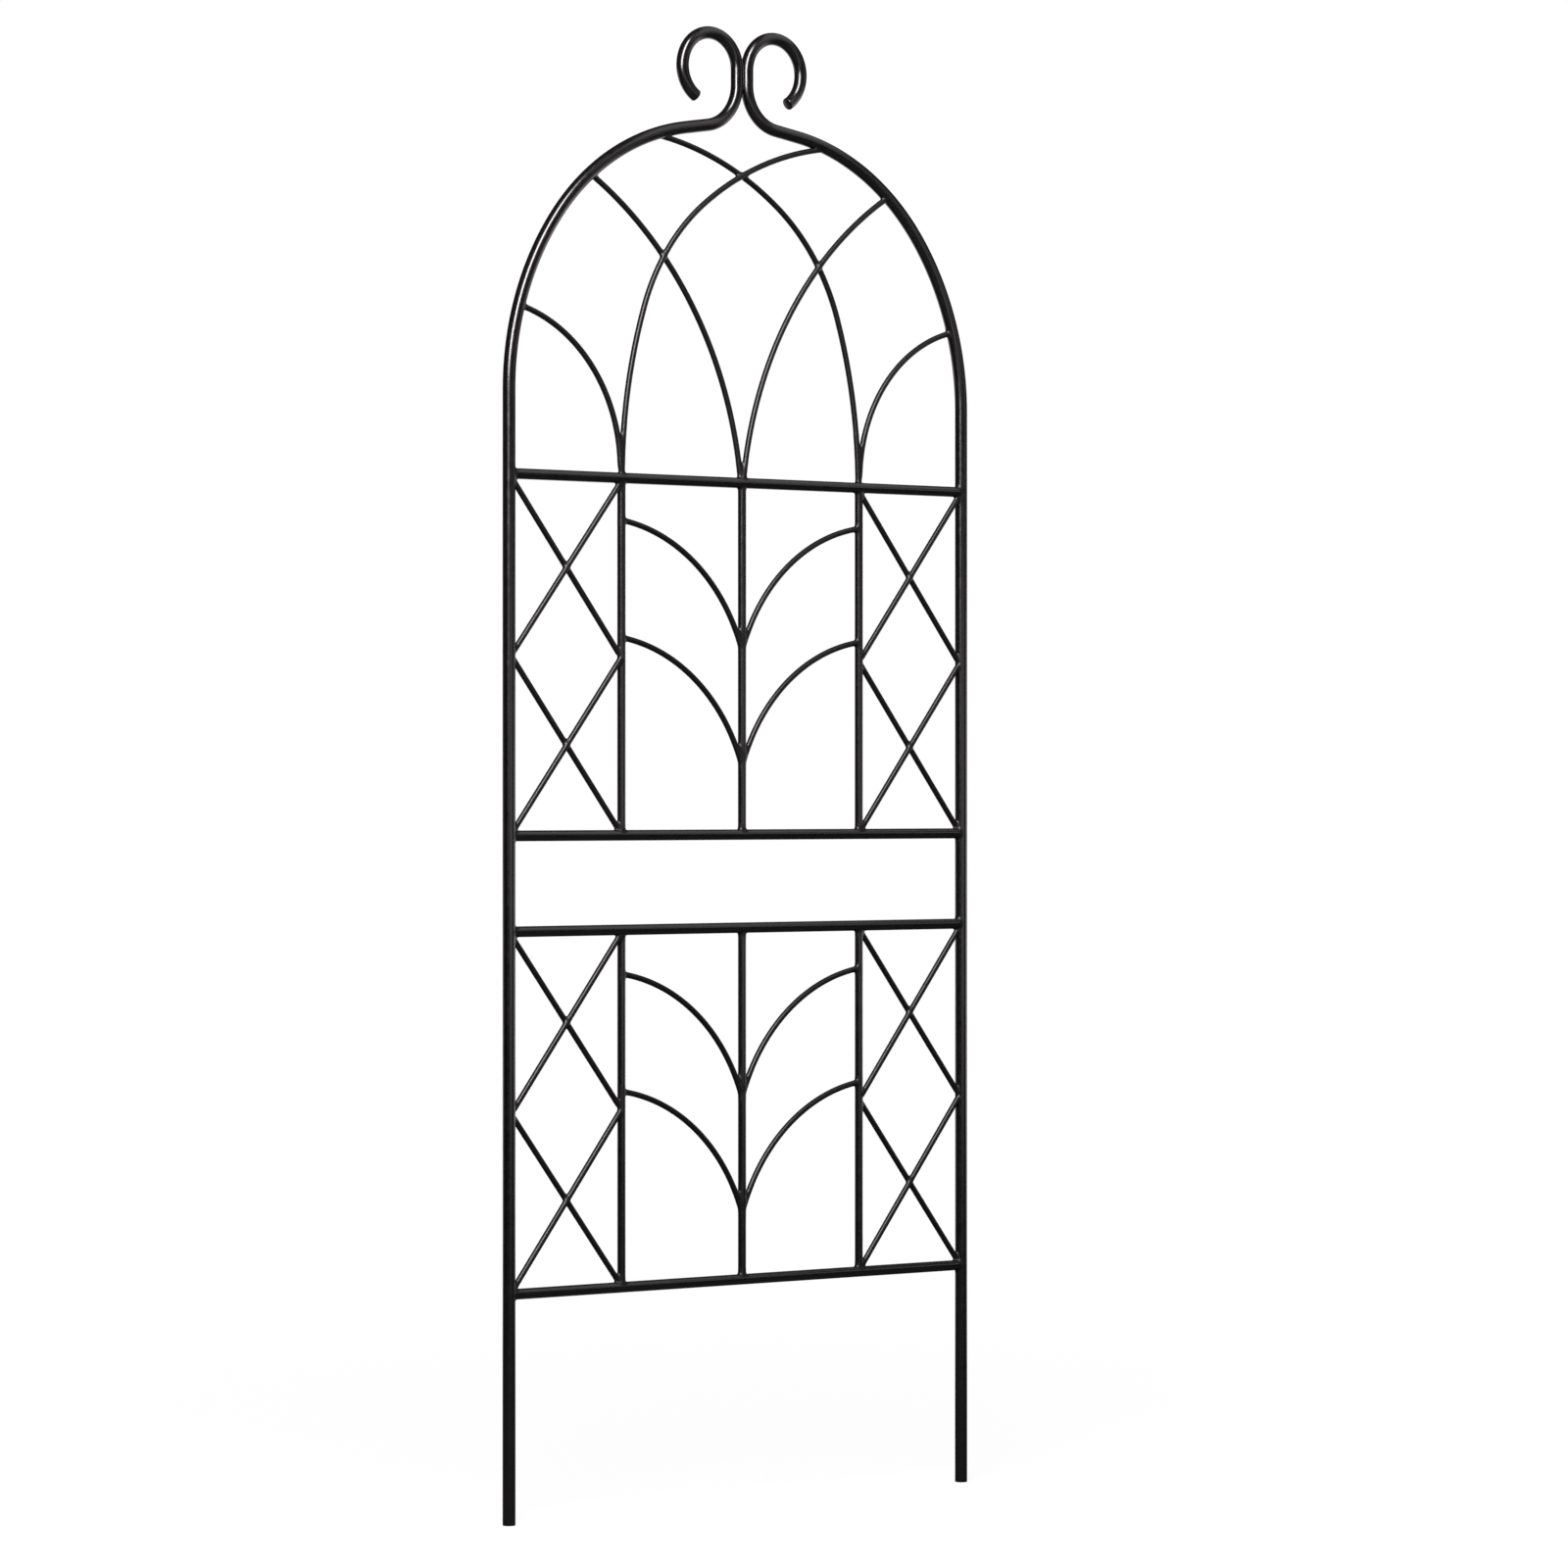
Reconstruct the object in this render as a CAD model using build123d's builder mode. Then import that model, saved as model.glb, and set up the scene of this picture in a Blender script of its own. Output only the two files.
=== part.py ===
from build123d import *
import os
from math import atan2, cos, radians, sin, sqrt

# Bar stock
post_diameter = 13.0
rail_diameter = 11.0
upright_diameter = 8.5
rod_diameter = 6.0

# Posts, rails and uprights, between centre lines
post_spacing = 596.0
foot_length = 231.3
panel_height = 363.4
band_height = 96.2
upright_offset = 156.6

# Arch, neck and scroll of each post
spring_rise = 84.7
shoulder_turn = 37.0
crown_turn = 44.0
crown_run = 30.0
neck_radius = 45.0
scroll_contact = 15.0
scroll_radius = 35.6
scroll_turn = 240.0
end_chamfer = 0.8

# Weld fit-up: bars that touch stand a weld gap apart, and crossing rods sink into each other
weld_gap = 0.2
cross_set = 4.0
scroll_weld_root = 1.5
scroll_weld_face = 4.2

# Lattice rods in the side bays
corner_gap = 2.0

# Leaf rods of the two panels
upper_leaf_drop = 42.8
lower_leaf_drop = 44.9
leaf_pitch = 119.5
leaf_fall = 130.6
leaf_bow = 29.0
leaf_levels = ("high", "low")

# Rods of the arch, whose reach is measured along the post from the spring line
tall_rise_radius = 557.6
tall_rise_turn = 18.4
tall_bend_radius = 230.2
tall_bend_turn = 34.6
tall_reach = 347.5
inner_foot_spread = 1.6
inner_reach = 253.0
inner_bow = 42.6
arch_leaf_reach = 85.8
arch_leaf_bow = 33.1
arch_leaf_foot = 17.0
arch_leaf_lap = 2.2

# Radii and places worked out from the sizes above
post_radius = post_diameter / 2
rail_radius = rail_diameter / 2
upright_radius = upright_diameter / 2
rod_radius = rod_diameter / 2
post_x = post_spacing / 2
layer_offset = rod_radius - cross_set / 2
rail_heights = {
    "bottom_rail": foot_length,
    "lower_middle_rail": foot_length + panel_height,
    "upper_middle_rail": foot_length + panel_height + band_height,
    "arch_rail": foot_length + 2 * panel_height + band_height,
}
panels = {
    "lower": ("bottom_rail", "lower_middle_rail", lower_leaf_drop),
    "upper": ("upper_middle_rail", "arch_rail", upper_leaf_drop),
}
arch_rail_z = rail_heights["arch_rail"]
spring_z = arch_rail_z + spring_rise
sides = {"left": -1, "right": 1}

# The crown's radius follows from the room between the shoulder and the scrolls' contact
contact_x = post_radius + weld_gap / 2
slope = radians(90 - shoulder_turn - crown_turn)
crown_room = (
    post_x * cos(radians(shoulder_turn))
    - contact_x
    - crown_run * cos(slope)
    - neck_radius * (1 - sin(slope))
)
crown_radius = crown_room / (cos(radians(shoulder_turn)) - sin(slope))

# The rods that rise to the right lie in front, and those that rise to the left lie behind
front_layer = Plane.XZ.offset(layer_offset)
middle_layer = Plane.XZ
back_layer = Plane.XZ.offset(-layer_offset)


def bar(path, diameter, met=(), side=1):
    """A round bar along a path, its seam outside the bend and its ends coped to the bars it meets."""
    heading = path.line % 0
    outward = side * heading.cross(Vector(0, -1, 0))
    with BuildPart() as made:
        with BuildSketch(Plane(origin=path.line @ 0, x_dir=outward, z_dir=heading)):
            Circle(diameter / 2)
        sweep(path=path.line)
        for other in met:
            add(other, mode=Mode.SUBTRACT)
    return made.part


def keep(piece, name):
    """Labels a finished piece and writes it."""
    piece.label = name
    export_step(piece, f"parts/{name}.step")


def post_path(side):
    """Centre line of a post, from its foot to the tip of its scroll."""
    with BuildLine(Plane.XZ) as path:
        stem = Line((side * post_x, 0), (side * post_x, spring_z))
        shoulder = JernArc(stem @ 1, stem % 1, post_x, side * shoulder_turn)
        crown = JernArc(shoulder @ 1, shoulder % 1, crown_radius, side * crown_turn)
        run = Line(crown @ 1, (crown @ 1) + crown_run * (crown % 1))
        neck = JernArc(run @ 1, run % 1, neck_radius, -side * (shoulder_turn + crown_turn))
        limb = Line(neck @ 1, (neck @ 1) + scroll_contact * (neck % 1))
        JernArc(limb @ 1, limb % 1, scroll_radius, -side * scroll_turn)
    return path


def post(side):
    """A post with its two cut ends eased."""
    with BuildPart() as made:
        add(bar(post_path(side), post_diameter, side=side))
        chamfer(made.faces().filter_by(GeomType.PLANE).edges(), end_chamfer)
    return made.part


def rail(height):
    """A level bar between the two posts."""
    with BuildLine(middle_layer) as path:
        Line((-post_x, height), (post_x, height))
    return bar(path, rail_diameter, posts.values())


def upright(x, below, above):
    """A bar that stands on one rail and carries the next."""
    with BuildLine(middle_layer) as path:
        Line((x, rail_heights[below]), (x, rail_heights[above]))
    return bar(path, upright_diameter, (rails[below], rails[above]))


def lattice_rod(side, layer, outer_z, inner_z, met):
    """A straight rod across a side bay, from the post to the side upright."""
    outer_x = side * (post_x - post_radius)
    inner_x = side * (upright_offset + upright_radius)
    run_on = post_radius / abs(outer_x - inner_x)
    overrun_x = run_on * (outer_x - inner_x)
    overrun_z = run_on * (outer_z - inner_z)
    seat = upright_offset + sqrt(max(upright_radius**2 - layer_offset**2, 0))
    with BuildLine(layer) as path:
        Line((outer_x + overrun_x, outer_z + overrun_z), (inner_x - overrun_x, inner_z - overrun_z))
    with BuildPart() as made:
        add(bar(path, rod_diameter))
        with BuildSketch(Plane.XZ) as bay:
            with Locations((side * (post_x + seat) / 2, arch_rail_z / 2)):
                Rectangle(post_x - seat, arch_rail_z)
        extrude(bay.sketch, amount=post_diameter, both=True, mode=Mode.INTERSECT)
        for other in met:
            add(other, mode=Mode.SUBTRACT)
    return made.part


def leaf_rod(side, outer_z, met):
    """A bowed rod that springs from the centre upright and ends on a side upright."""
    with BuildLine(middle_layer) as path:
        SagittaArc((side * upright_offset, outer_z), (0, outer_z - leaf_fall), -side * leaf_bow)
    return bar(path, rod_diameter, met, side)


def on_post(side, reach):
    """The point of a post's centre line that is this far along it from the spring line."""
    point = post_path(side).wire().position_at(spring_z + reach, position_mode=PositionMode.LENGTH)
    return point.X, point.Z


def tall_rod_path(side, layer):
    """Centre line of a tall arch rod, upright at its foot and bowed to the far shoulder."""
    with BuildLine(layer) as path:
        rise = JernArc((side * upright_offset, arch_rail_z), (0, 1), tall_rise_radius, side * tall_rise_turn)
        bend = JernArc(rise @ 1, rise % 1, tall_bend_radius, side * tall_bend_turn)
        TangentArc(bend @ 1, on_post(-side, tall_reach), tangent=bend % 1)
    return path


def inner_rod_path(side, layer):
    """Centre line of an inner arch rod, from the middle of the arch rail to its own shoulder."""
    foot = (side * inner_foot_spread / 2, arch_rail_z)
    with BuildLine(layer) as path:
        SagittaArc(foot, on_post(side, inner_reach), side * inner_bow)
    return path


def arch_leaf_path(side, layer):
    """Centre line of an arch leaf rod, from the post to the foot of the tall rod."""
    foot = (side * (upright_offset + arch_leaf_lap), arch_rail_z + arch_leaf_foot)
    with BuildLine(layer) as path:
        SagittaArc(on_post(side, arch_leaf_reach), foot, -side * arch_leaf_bow)
    return path


def scroll_weld():
    """Two weld beads, in front of and behind the line where the scrolls touch."""
    neck_reach = (
        post_x * radians(shoulder_turn)
        + crown_radius * radians(crown_turn)
        + crown_run
        + neck_radius * radians(shoulder_turn + crown_turn)
    )
    limb_z = on_post(1, neck_reach)[1]
    bead_middle = (scroll_weld_root + scroll_weld_face) / 2
    bead_depth = scroll_weld_face - scroll_weld_root
    with BuildPart() as made:
        with BuildSketch(Plane.XY.offset(limb_z)):
            with Locations((0, bead_middle), (0, -bead_middle)):
                Rectangle(2 * contact_x, bead_depth)
        extrude(amount=scroll_contact)
        for other in posts.values():
            add(other, mode=Mode.SUBTRACT)
    return made.part


os.makedirs("parts", exist_ok=True)

posts = {side: post(sign) for side, sign in sides.items()}
rails = {name: rail(height) for name, height in rail_heights.items()}
for side, piece in posts.items():
    keep(piece, f"{side}_post")
for name, piece in rails.items():
    keep(piece, name)
keep(scroll_weld(), "scroll_welds")

for panel, (below, above, leaf_drop) in panels.items():
    uprights = {
        "left": upright(-upright_offset, below, above),
        "centre": upright(0, below, above),
        "right": upright(upright_offset, below, above),
    }
    for place, piece in uprights.items():
        keep(piece, f"{panel}_{place}_upright")

    # Each side bay has two crosses, whose rods meet the rails and each other at the bay's edges
    low_z = rail_heights[below] + rail_radius + corner_gap
    high_z = rail_heights[above] - rail_radius - corner_gap
    middle_z = (low_z + high_z) / 2
    bay_width = post_x - post_radius - upright_offset - upright_radius
    steepness = atan2(middle_z - low_z, bay_width)
    middle_gap = rod_radius / cos(steepness) + weld_gap
    crosses = {"low": (low_z, middle_z - middle_gap), "high": (middle_z + middle_gap, high_z)}
    for side, sign in sides.items():
        met = (posts[side], uprights[side], rails[below], rails[above])
        for tier, (start_z, end_z) in crosses.items():
            rising = (start_z, end_z) if sign < 0 else (end_z, start_z)
            falling = rising[::-1]
            front = lattice_rod(sign, front_layer, *rising, met)
            back = lattice_rod(sign, back_layer, *falling, (*met, front))
            keep(front, f"{panel}_{side}_{tier}_front_lattice_rod")
            keep(back, f"{panel}_{side}_{tier}_back_lattice_rod")

    for level, name in enumerate(leaf_levels):
        outer_z = rail_heights[above] - leaf_drop - level * leaf_pitch
        for side, sign in sides.items():
            leaf = leaf_rod(sign, outer_z, (uprights[side], uprights["centre"]))
            keep(leaf, f"{panel}_{name}_{side}_leaf_rod")

# Rods of the arch: the front ones are whole, and the back ones are notched where they cross them
arch_rail = rails["arch_rail"]
left_tall = bar(tall_rod_path(-1, front_layer), rod_diameter, (arch_rail, posts["right"]), -1)
right_inner = bar(inner_rod_path(1, front_layer), rod_diameter, (arch_rail, posts["right"]), 1)
crossed = (arch_rail, posts["left"], left_tall, right_inner)
right_tall = bar(tall_rod_path(1, back_layer), rod_diameter, crossed, 1)
left_inner = bar(inner_rod_path(-1, back_layer), rod_diameter, crossed, -1)
left_leaf = bar(arch_leaf_path(-1, front_layer), rod_diameter, (posts["left"], left_tall), -1)
right_leaf = bar(arch_leaf_path(1, back_layer), rod_diameter, (posts["right"], right_tall), 1)
keep(left_tall, "left_tall_arch_rod")
keep(right_tall, "right_tall_arch_rod")
keep(left_inner, "left_inner_arch_rod")
keep(right_inner, "right_inner_arch_rod")
keep(left_leaf, "left_arch_leaf_rod")
keep(right_leaf, "right_arch_leaf_rod")
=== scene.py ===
from collections import namedtuple
from math import atan, atan2, cos, pi, radians, sin

import bmesh
import bpy
from bpy.props import FloatProperty, FloatVectorProperty, PointerProperty
from mathutils import Matrix, Vector


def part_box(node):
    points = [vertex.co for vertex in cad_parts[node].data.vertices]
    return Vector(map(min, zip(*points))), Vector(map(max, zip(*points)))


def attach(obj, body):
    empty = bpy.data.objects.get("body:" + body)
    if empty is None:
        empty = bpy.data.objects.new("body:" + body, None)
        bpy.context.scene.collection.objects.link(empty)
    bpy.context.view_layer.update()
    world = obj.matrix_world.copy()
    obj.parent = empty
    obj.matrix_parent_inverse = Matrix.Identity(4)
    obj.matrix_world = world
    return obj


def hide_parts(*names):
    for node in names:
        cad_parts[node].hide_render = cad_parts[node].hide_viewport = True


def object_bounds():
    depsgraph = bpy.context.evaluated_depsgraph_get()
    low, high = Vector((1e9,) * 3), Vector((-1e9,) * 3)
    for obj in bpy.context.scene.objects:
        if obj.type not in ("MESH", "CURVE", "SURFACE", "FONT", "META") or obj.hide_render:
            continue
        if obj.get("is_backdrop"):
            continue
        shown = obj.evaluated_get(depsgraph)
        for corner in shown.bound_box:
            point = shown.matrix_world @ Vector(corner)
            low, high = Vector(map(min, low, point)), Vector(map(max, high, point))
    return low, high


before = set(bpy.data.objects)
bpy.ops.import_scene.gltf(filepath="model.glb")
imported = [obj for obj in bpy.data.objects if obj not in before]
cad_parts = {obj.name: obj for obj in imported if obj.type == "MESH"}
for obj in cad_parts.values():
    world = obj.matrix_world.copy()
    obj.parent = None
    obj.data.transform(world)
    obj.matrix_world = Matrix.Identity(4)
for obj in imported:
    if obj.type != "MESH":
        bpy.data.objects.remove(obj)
cad_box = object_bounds()

bl_info = {
    "name": "Arched Garden Trellis",
    "version": (1, 0, 0),
    "blender": (4, 5, 0),
    "location": "View3D > Sidebar > Trellis",
    "description": "A welded garden trellis of black round bar, with its floor, lamps and camera",
    "category": "Add Mesh",
}

SIDES = {"left": -1, "right": 1}
PLACES = {"left": -1, "centre": 0, "right": 1}
PANELS = {"lower": ("bottom_rail", "lower_middle_rail"), "upper": ("upper_middle_rail", "arch_rail")}
TIERS = ("low", "high")
LAYERS = ("front", "back")
LEVELS = ("high", "low")

# Bars thicker than a rod get more sides and the glossier coat
ROD_RADIUS_LIMIT = 0.004
BAR_SIDES = 44
ROD_SIDES = 32
BEND_STEP = radians(1.5)
SHARP_ANGLE = radians(40)
END_SEGMENTS = 3

# A post starts with a run of this many end eases, which keeps the shading of its eased end off the long run
FOOT_RUN_EASES = 4

# How far the ends of lattice rods go into their neighbours, and where an arch leaf's foot ends, from the
# foot of the tall rod that it is welded to
LATTICE_OVERRUN = 0.0022
ARCH_LEAF_END_LAP = 0.0002
ARCH_LEAF_END_HEIGHT = 0.004

# Shortest move that a part of a line keeps, and the spacing of the points tried along a line
SHORTEST_MOVE = 1e-6
SEARCH_STEP = 0.0005

# Welds: the length of bar on each side of a joint that takes part in it, and the rounds of smoothing
WELD_REACH = {
    "rail_end": 0.013,
    "upright_end": 0.012,
    "lattice_crossing": 0.010,
    "lattice_corner": 0.009,
    "lattice_middle": 0.011,
    "leaf_root": 0.022,
    "leaf_tip": 0.010,
    "inner_rod_feet": 0.024,
    "tall_rod_foot": 0.012,
    "arch_leaf_foot": 0.026,
    "arch_leaf_start": 0.012,
    "arch_rod_end": 0.016,
    "arch_crossing": 0.011,
    "scrolls": 0.009,
}
WELD_ROUNDS = {"rail": 40, "upright": 36, "lattice": 30, "leaf": 34, "arch": 34, "scroll": 10}
STUB_SIDES = 32
STUB_BEND_STEP = radians(2)

# Smoothing thins a bar by this share of the grain squared, each round, over the bar's radius
THINNING = 0.125

# Specks smaller than this share of the grain are merged away
SPECK = 1 / 60

# Height of the weld at a leaf's root above the root, and at an arch leaf's foot above the arch rail
LEAF_ROOT_RISE = 0.014
ARCH_LEAF_FOOT_RISE = 0.034

# Distances along a tall arch rod at which its crossings with an inner rod and the other tall rod are tried
INNER_CROSSING_TRIES = [0.1 + 0.002 * k for k in range(100)]
TOP_CROSSING_TRIES = [0.2 + 0.001 * k for k in range(300)]

# Soft boxes: the middle of the lower edge, the middle of the upper edge, and the width
LAMPS = {
    "key": ((-2.03, -1.405, 1.52), (-0.75, -1.55, 3.75), 0.8),
    "side": ((-1.86, -1.67, 0.75), (-1.86, -1.67, 1.45), 0.9),
    "roof": ((1.20, -2.40, 2.50), (1.40, 0.30, 3.50), 1.8),
    "rail": ((2.10, -2.20, 1.20), (2.10, -1.90, 1.90), 1.0),
    "fill": ((-0.10, -2.98, 0.25), (-0.10, -2.98, 1.05), 3.1),
    "edge": ((2.88, -0.80, 0.25), (2.88, -0.80, 0.95), 1.7),
}
LAMP_AIM = Vector((0.0, 0.0, 0.85))
FLOOR_RADIUS = 40.0
FLOOR_SIDES = 96
WHITE = (1.0, 1.0, 1.0, 1.0)


def length(name, description, default):
    return FloatProperty(
        name=name, description=description, default=default, precision=4, unit="LENGTH", subtype="DISTANCE"
    )


def angle(name, description, degrees):
    return FloatProperty(
        name=name, description=description, default=radians(degrees), unit="ROTATION", subtype="ANGLE"
    )


def power(name, description, default):
    return FloatProperty(name=name, description=description, default=default, min=0.0, unit="POWER")


def colour(name, description, default):
    return FloatVectorProperty(
        name=name, description=description, default=default, size=4, min=0.0, max=1.0, subtype="COLOR"
    )


def share(name, description, default):
    return FloatProperty(
        name=name, description=description, default=default, min=0.0, max=1.0, subtype="FACTOR"
    )


class TrellisSizes(bpy.types.PropertyGroup):
    """Bar thicknesses, heights and bends."""

    post_diameter: length("Post diameter", "Thickness of the two outer posts", 0.013)
    rail_diameter: length("Rail diameter", "Thickness of the four level rails", 0.011)
    upright_diameter: length("Upright diameter", "Thickness of the six uprights", 0.0085)
    rod_diameter: length("Rod diameter", "Thickness of the lattice, leaf and arch rods", 0.006)
    post_spacing: length("Post spacing", "Distance between the centre lines of the posts", 0.596)
    foot_length: length("Foot length", "Height of the bottom rail above the feet", 0.2313)
    panel_height: length("Panel height", "Height of each panel between its rails", 0.3634)
    band_height: length("Band height", "Height of the open band between the panels", 0.0962)
    upright_offset: length("Upright offset", "Distance of the side uprights from the middle", 0.1566)
    spring_rise: length("Spring rise", "Straight stretch of post above the arch rail", 0.0847)
    shoulder_turn: angle("Shoulder turn", "Turn of the wide bend of a post", 37)
    crown_turn: angle("Crown turn", "Turn of the bend towards the crown", 44)
    crown_run: length("Crown run", "Straight stretch before the neck", 0.030)
    neck_radius: length("Neck radius", "Bend that carries a post up into its scroll", 0.045)
    scroll_contact: length("Scroll contact", "Straight stretch where the scrolls touch", 0.015)
    scroll_radius: length("Scroll radius", "Bend of the closing scroll", 0.0356)
    scroll_turn: angle("Scroll turn", "Turn of the closing scroll", 240)
    end_ease: length("End ease", "Rounding of a post's cut ends", 0.0008)
    weld_gap: length("Weld gap", "Room between bars that are welded side by side", 0.0002)
    cross_set: length("Cross set", "Depth that crossing rods sink into each other", 0.004)
    corner_gap: length("Corner gap", "Height of a lattice rod's end from the rail", 0.002)
    upper_leaf_drop: length("Upper leaf drop", "Height of the arch rail above the upper leaves", 0.0428)
    lower_leaf_drop: length("Lower leaf drop", "Height of the middle rail above the lower leaves", 0.0449)
    leaf_pitch: length("Leaf pitch", "Distance between the two levels of leaves", 0.1195)
    leaf_fall: length("Leaf fall", "Height of a leaf from its tip to its root", 0.1306)
    leaf_bow: length("Leaf bow", "Rise of a leaf's bow over its chord", 0.029)
    tall_rise_radius: length("Tall rise radius", "First bend of a tall arch rod", 0.5576)
    tall_rise_turn: angle("Tall rise turn", "Turn of the first bend", 18.4)
    tall_bend_radius: length("Tall bend radius", "Second bend of a tall arch rod", 0.2302)
    tall_bend_turn: angle("Tall bend turn", "Turn of the second bend", 34.6)
    tall_reach: length("Tall reach", "Where a tall rod ends, along the post from the spring line", 0.3475)
    inner_foot_spread: length("Inner foot spread", "Distance between the feet of the inner rods", 0.0016)
    inner_reach: length("Inner reach", "Where an inner rod ends, along the post", 0.253)
    inner_bow: length("Inner bow", "Rise of an inner rod's bow over its chord", 0.0426)
    arch_leaf_reach: length("Arch leaf reach", "Where an arch leaf starts, along the post", 0.0858)
    arch_leaf_bow: length("Arch leaf bow", "Rise of an arch leaf's bow over its chord", 0.0331)
    arch_leaf_foot: length("Arch leaf foot", "Height of an arch leaf's foot above the rail", 0.017)
    arch_leaf_lap: length("Arch leaf lap", "Offset of an arch leaf's foot from the tall rod", 0.0022)


class TrellisFinish(bpy.types.PropertyGroup):
    """Paint and welds."""

    coat_dark: colour("Coat, dark", "Deepest tone of the black coat", (0.0018, 0.0016, 0.0018, 1.0))
    coat_light: colour("Coat, light", "Palest tone of the black coat", (0.0044, 0.0038, 0.0041, 1.0))
    coat_sheen: colour("Coat sheen", "Tint of the coat's highlights", (1.0, 0.945, 0.95, 1.0))
    bar_shine: share("Bar shine", "Strength of the reflections on posts, rails and uprights", 0.9)
    bar_rough_low: share("Bar roughness, least", "Roughness where their coat is smoothest", 0.18)
    bar_rough_high: share("Bar roughness, most", "Roughness where their coat is dullest", 0.27)
    rod_shine: share("Rod shine", "Strength of the reflections on rods and welds", 0.52)
    rod_rough_low: share("Rod roughness, least", "Roughness where their coat is smoothest", 0.33)
    rod_rough_high: share("Rod roughness, most", "Roughness where their coat is dullest", 0.43)
    weld_grain: length("Weld grain", "Fineness of the weld fillets' mesh", 0.0006)
    weld_sink: length("Weld sink", "Depth of a fillet's shank under the bar's surface", 0.00014)


class TrellisStage(bpy.types.PropertyGroup):
    """Floor, lamps and camera."""

    floor_colour: colour("Floor", "Grey of the floor, under the white that is seen", (0.09, 0.09, 0.09, 1.0))
    room_colour: colour("Room", "Grey of the dim room round the stage", (0.03, 0.03, 0.031, 1.0))
    key_power: power("Key lamp", "Tall soft box at the left, from arch height upwards", 132.0)
    side_power: power("Side lamp", "Low soft box at the left, under the key lamp", 1.4)
    roof_power: power("Roof lamp", "Wide soft box overhead, to the right", 11.0)
    rail_power: power("Rail lamp", "Small soft box in front, to the right", 1.5)
    fill_power: power("Fill lamp", "Low and wide soft box in front", 5.2)
    edge_power: power("Edge lamp", "Low soft box at the right", 3.6)
    view_turn: angle("View turn", "Turn of the camera from straight on", 38.85)
    view_distance: length("View distance", "Distance of the camera from the panel", 6.071)
    view_height: length("View height", "Height of the camera", 0.7342)
    view_side: length("View side", "Offset of the camera to its right", 0.0434)
    view_lens: FloatProperty(name="Lens", description="Focal length of the camera in mm", default=134.84)
    view_shift: FloatProperty(name="Shift", description="Rise of the picture on the sensor", default=0.00556)


Bar = namedtuple("Bar", "line layer radius")
Joint = namedtuple("Joint", "point bars reach")


def advance(spot, heading, reach, turn):
    """Where a run or a bend ends, and its heading there."""
    chord = 2 * reach / turn * sin(turn / 2) if turn else reach
    middle = heading + turn / 2
    return spot + chord * Vector((cos(middle), sin(middle))), heading + turn


class BarLine:
    """A bar's centre line in the panel: a start, a heading, then runs and bends."""

    def __init__(self, x, z, heading):
        self.start = Vector((x, z))
        self.heading = heading
        self.moves = []

    def run(self, reach):
        self.moves.append((reach, 0.0))
        return self

    def bend(self, radius, turn):
        """A bend to the left, or to the right where the turn is negative."""
        self.moves.append((radius * abs(turn), turn))
        return self

    def swing_to(self, point):
        """A last bend that carries on smoothly and ends at a point."""
        spot, heading = self.end()
        chord = point - spot
        half = (atan2(chord.y, chord.x) - heading + pi) % (2 * pi) - pi
        return self.bend(abs(chord.length / (2 * sin(half))), 2 * half)

    def reach(self):
        return sum(move[0] for move in self.moves)

    def end(self):
        spot, heading = self.start, self.heading
        for move in self.moves:
            spot, heading = advance(spot, heading, *move)
        return spot, heading

    def part(self, first, last):
        """The stretch between two distances along the line."""
        spot, heading, gone, stretch = self.start, self.heading, 0.0, None
        for reach, turn in self.moves:
            low, high = max(first - gone, 0.0), min(last - gone, reach)
            if high - low > SHORTEST_MOVE:
                if stretch is None:
                    at, way = advance(spot, heading, low, turn * low / reach)
                    stretch = BarLine(at.x, at.y, way)
                stretch.moves.append((high - low, turn * (high - low) / reach))
            spot, heading = advance(spot, heading, reach, turn)
            gone += reach
        return stretch

    def at(self, distance):
        return self.part(0.0, distance).end()[0]

    def spots(self, distances):
        """Each distance along the line with its point."""
        spot, heading, gone = self.start, self.heading, 0.0
        for reach, turn in self.moves:
            for distance in distances:
                if gone <= distance < gone + reach:
                    on = distance - gone
                    yield distance, advance(spot, heading, on, turn * on / reach)[0]
            spot, heading = advance(spot, heading, reach, turn)
            gone += reach

    def nearest(self, point):
        """How far along the line the point lies, to within the search step."""
        steps = int(self.reach() / SEARCH_STEP)
        tried = [self.reach() * (k + 0.5) / steps for k in range(steps)]
        return min(self.spots(tried), key=lambda found: (found[1] - point).length)[0]

    def mirrored(self):
        twin = BarLine(-self.start.x, self.start.y, pi - self.heading)
        twin.moves = [(reach, -turn) for reach, turn in self.moves]
        return twin

    def trimmed(self, start, end):
        return self.part(start, self.reach() - end)


def bowed(start, end, bow):
    """A line that bows to the left of the way to its end, or to the right where the bow is negative."""
    chord = end - start
    half = 2 * atan(2 * bow / chord.length)
    line = BarLine(start.x, start.y, atan2(chord.y, chord.x) + half)
    return line.bend(chord.length / abs(2 * sin(half)), -2 * half)


def rail_heights(s):
    low = s.foot_length
    return {
        "bottom_rail": low,
        "lower_middle_rail": low + s.panel_height,
        "upper_middle_rail": low + s.panel_height + s.band_height,
        "arch_rail": low + 2 * s.panel_height + s.band_height,
    }


def lattice_heights(s, panel):
    """Heights of the two crosses of a side bay, at its edges."""
    below, above = (rail_heights(s)[rail] for rail in PANELS[panel])
    low = below + s.rail_diameter / 2 + s.corner_gap
    high = above - s.rail_diameter / 2 - s.corner_gap
    middle = (low + high) / 2
    width = s.post_spacing / 2 - s.post_diameter / 2 - s.upright_offset - s.upright_diameter / 2
    gap = s.rod_diameter / 2 / cos(atan2(middle - low, width)) + s.weld_gap
    return {"low": (low, middle - gap), "high": (middle + gap, high)}


def leaf_heights(s, panel):
    """Heights of the tips of a panel's two levels of leaves."""
    drop = s.lower_leaf_drop if panel == "lower" else s.upper_leaf_drop
    top = rail_heights(s)[PANELS[panel][1]] - drop
    return {"high": top, "low": top - s.leaf_pitch}


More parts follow.
